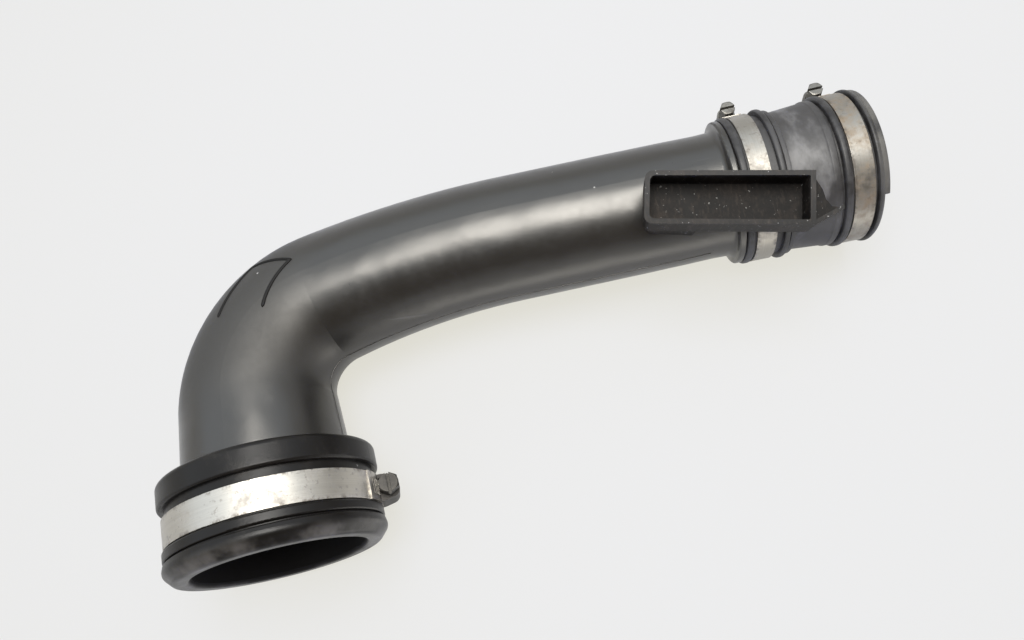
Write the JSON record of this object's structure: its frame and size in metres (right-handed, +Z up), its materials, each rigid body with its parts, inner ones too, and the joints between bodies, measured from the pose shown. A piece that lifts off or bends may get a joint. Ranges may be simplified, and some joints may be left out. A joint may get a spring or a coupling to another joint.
{
  "type": "charge air hose",
  "caption": "Black moulded elbow pipe for charge air, tapering from a wide rubber cuff to a rubber sleeve, with worm drive clamps and a channel bracket snapped off at its end.",
  "frame": {"origin": "on the surface the hose lies on, under the middle of its bounding box", "axes": "+X along the straight run towards the narrow sleeve, +Z up from the surface"},
  "size_m": [0.3223, 0.17, 0.0925],
  "materials": {
    "pipe_plastic": "satin moulded",
    "bracket_plastic": "dusty moulded",
    "cuff_rubber": "worn matt",
    "sleeve_rubber": "dusty matt",
    "band_steel": "stained",
    "housing_steel": "dull",
    "screw_steel": "dirty zinc"
  },
  "bodies": {
    "root": {"pipe": "pipe_plastic", "bracket": "bracket_plastic", "wide_cuff": "cuff_rubber", "narrow_sleeve": "sleeve_rubber", "wide_clamp_band": "band_steel", "wide_clamp_housing": "housing_steel", "wide_clamp_screw": "screw_steel", "inner_clamp_band": "band_steel", "inner_clamp_housing": "housing_steel", "inner_clamp_screw": "screw_steel", "outer_clamp_band": "band_steel", "outer_clamp_housing": "housing_steel", "outer_clamp_screw": "screw_steel"}
  },
  "joints": []
}
